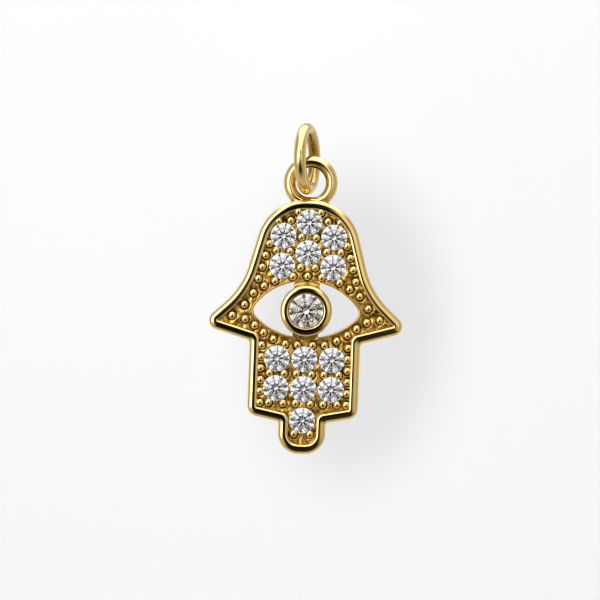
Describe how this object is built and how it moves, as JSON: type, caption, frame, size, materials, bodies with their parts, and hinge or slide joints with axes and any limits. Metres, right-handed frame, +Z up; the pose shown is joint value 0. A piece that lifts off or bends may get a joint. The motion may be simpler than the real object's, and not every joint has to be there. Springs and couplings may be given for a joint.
{
  "type": "hamsa pendant",
  "caption": "Cast metal hand pendant with a pierced eye, set clear stones, a soldered loop and a jump ring to hang from a chain.",
  "frame": {"origin": "inner top of the jump ring, where a chain or cord passes", "axes": "+Z up along the hanging pendant, +Y from its face to its back, +X to the right seen from the front"},
  "size_m": [0.0114, 0.0042, 0.0195],
  "materials": {
    "gold": "polished",
    "crystal": "polished"
  },
  "bodies": {
    "ring": {"jump_ring": "gold"},
    "pendant": {"hand": "gold", "eye_stone": "crystal", "small_stone_1": "crystal", "small_stone_2": "crystal", "small_stone_3": "crystal", "small_stone_4": "crystal", "small_stone_5": "crystal", "small_stone_6": "crystal", "small_stone_7": "crystal", "small_stone_8": "crystal", "small_stone_9": "crystal", "small_stone_10": "crystal", "small_stone_11": "crystal", "small_stone_12": "crystal", "small_stone_13": "crystal"}
  },
  "joints": [
    {"name": "pendant_swing", "type": "hinge", "parent": "ring", "child": "pendant", "pos_m": [0.00005, 0, -0.00142], "axis": [0.9696, -0.2419, 0.0356], "range_deg": [-75, 75]}
  ]
}
